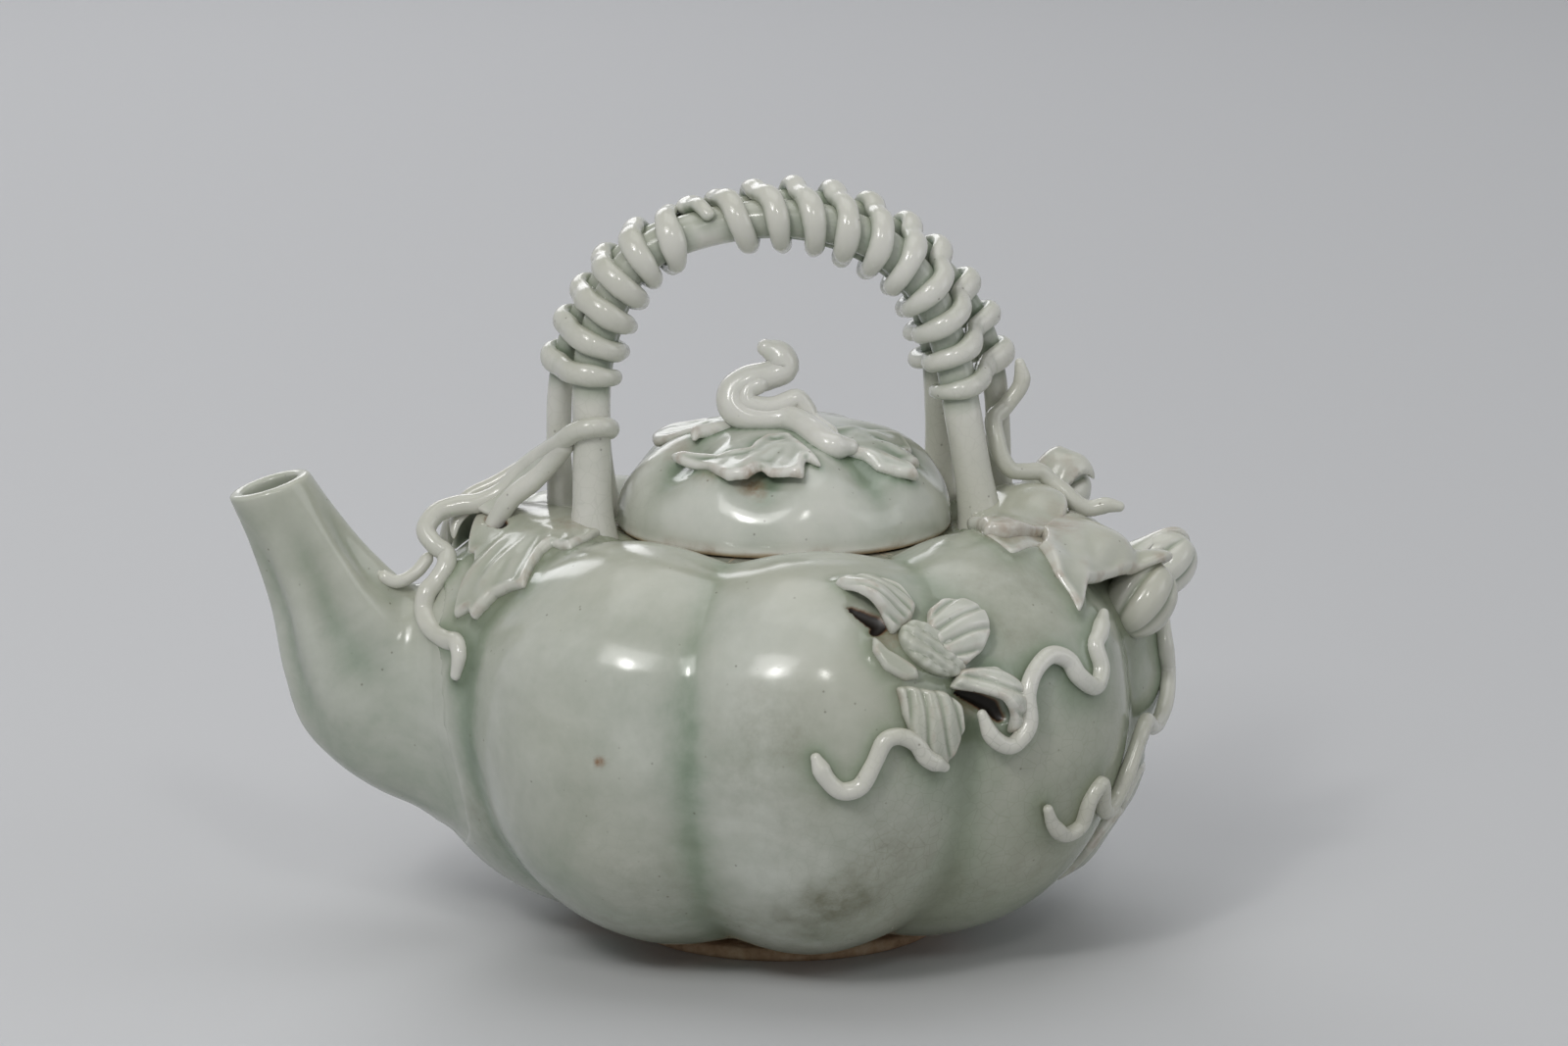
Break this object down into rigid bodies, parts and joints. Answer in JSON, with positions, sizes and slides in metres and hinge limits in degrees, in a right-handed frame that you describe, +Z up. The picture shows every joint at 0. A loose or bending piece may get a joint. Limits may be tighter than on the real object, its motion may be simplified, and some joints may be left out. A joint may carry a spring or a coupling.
{
  "type": "celadon kettle",
  "caption": "Melon-lobed celadon kettle with a lift-off lid, an upright curved spout and a bundled vine handle over the mouth, with applied leaves, vines, buds and a flower.",
  "frame": {"origin": "centre of the flat unglazed foot, on the vessel's upright axis", "axes": "+Z up along the vessel's axis; the spout points along -X; the handle arches over the mouth in the XZ plane; -Y faces the viewer"},
  "size_m": [0.1885, 0.151, 0.1468],
  "materials": {
    "glaze": "glossy",
    "biscuit": "matte"
  },
  "bodies": {
    "kettle": {"foot_disc": "biscuit", "body_shell": "glaze", "spout": "glaze", "handle_stem_front": "glaze", "handle_stem_back": "glaze", "handle_stem_outer": "glaze", "handle_tendril_left": "glaze", "handle_tendril_right": "glaze", "melon_bud_1": "glaze", "melon_bud_2": "glaze", "melon_bud_3": "glaze", "flower_centre": "glaze", "flower_petal_1": "glaze", "flower_petal_2": "glaze", "flower_petal_3": "glaze", "flower_petal_4": "glaze", "flower_petal_5": "glaze", "shoulder_leaf_front": "glaze", "shoulder_leaf_back": "glaze", "rear_leaf_front": "glaze", "rear_leaf_back": "glaze", "bud_leaf": "glaze", "low_leaf_1": "glaze", "low_leaf_2": "glaze", "flower_vine": "glaze", "flower_tendril": "glaze", "low_vine": "glaze", "shoulder_vine": "glaze", "spout_vine": "glaze", "bud_vine": "glaze"},
    "lid": {"lid_dome": "glaze", "lid_stem": "glaze", "lid_stem_strand": "glaze", "lid_leaf_front": "glaze", "lid_leaf_left": "glaze", "lid_leaf_right": "glaze"}
  },
  "joints": [
    {"name": "lid_lift", "type": "slide", "parent": "kettle", "child": "lid", "axis": [0, 0, 1], "range_m": [0, 0.007]}
  ]
}
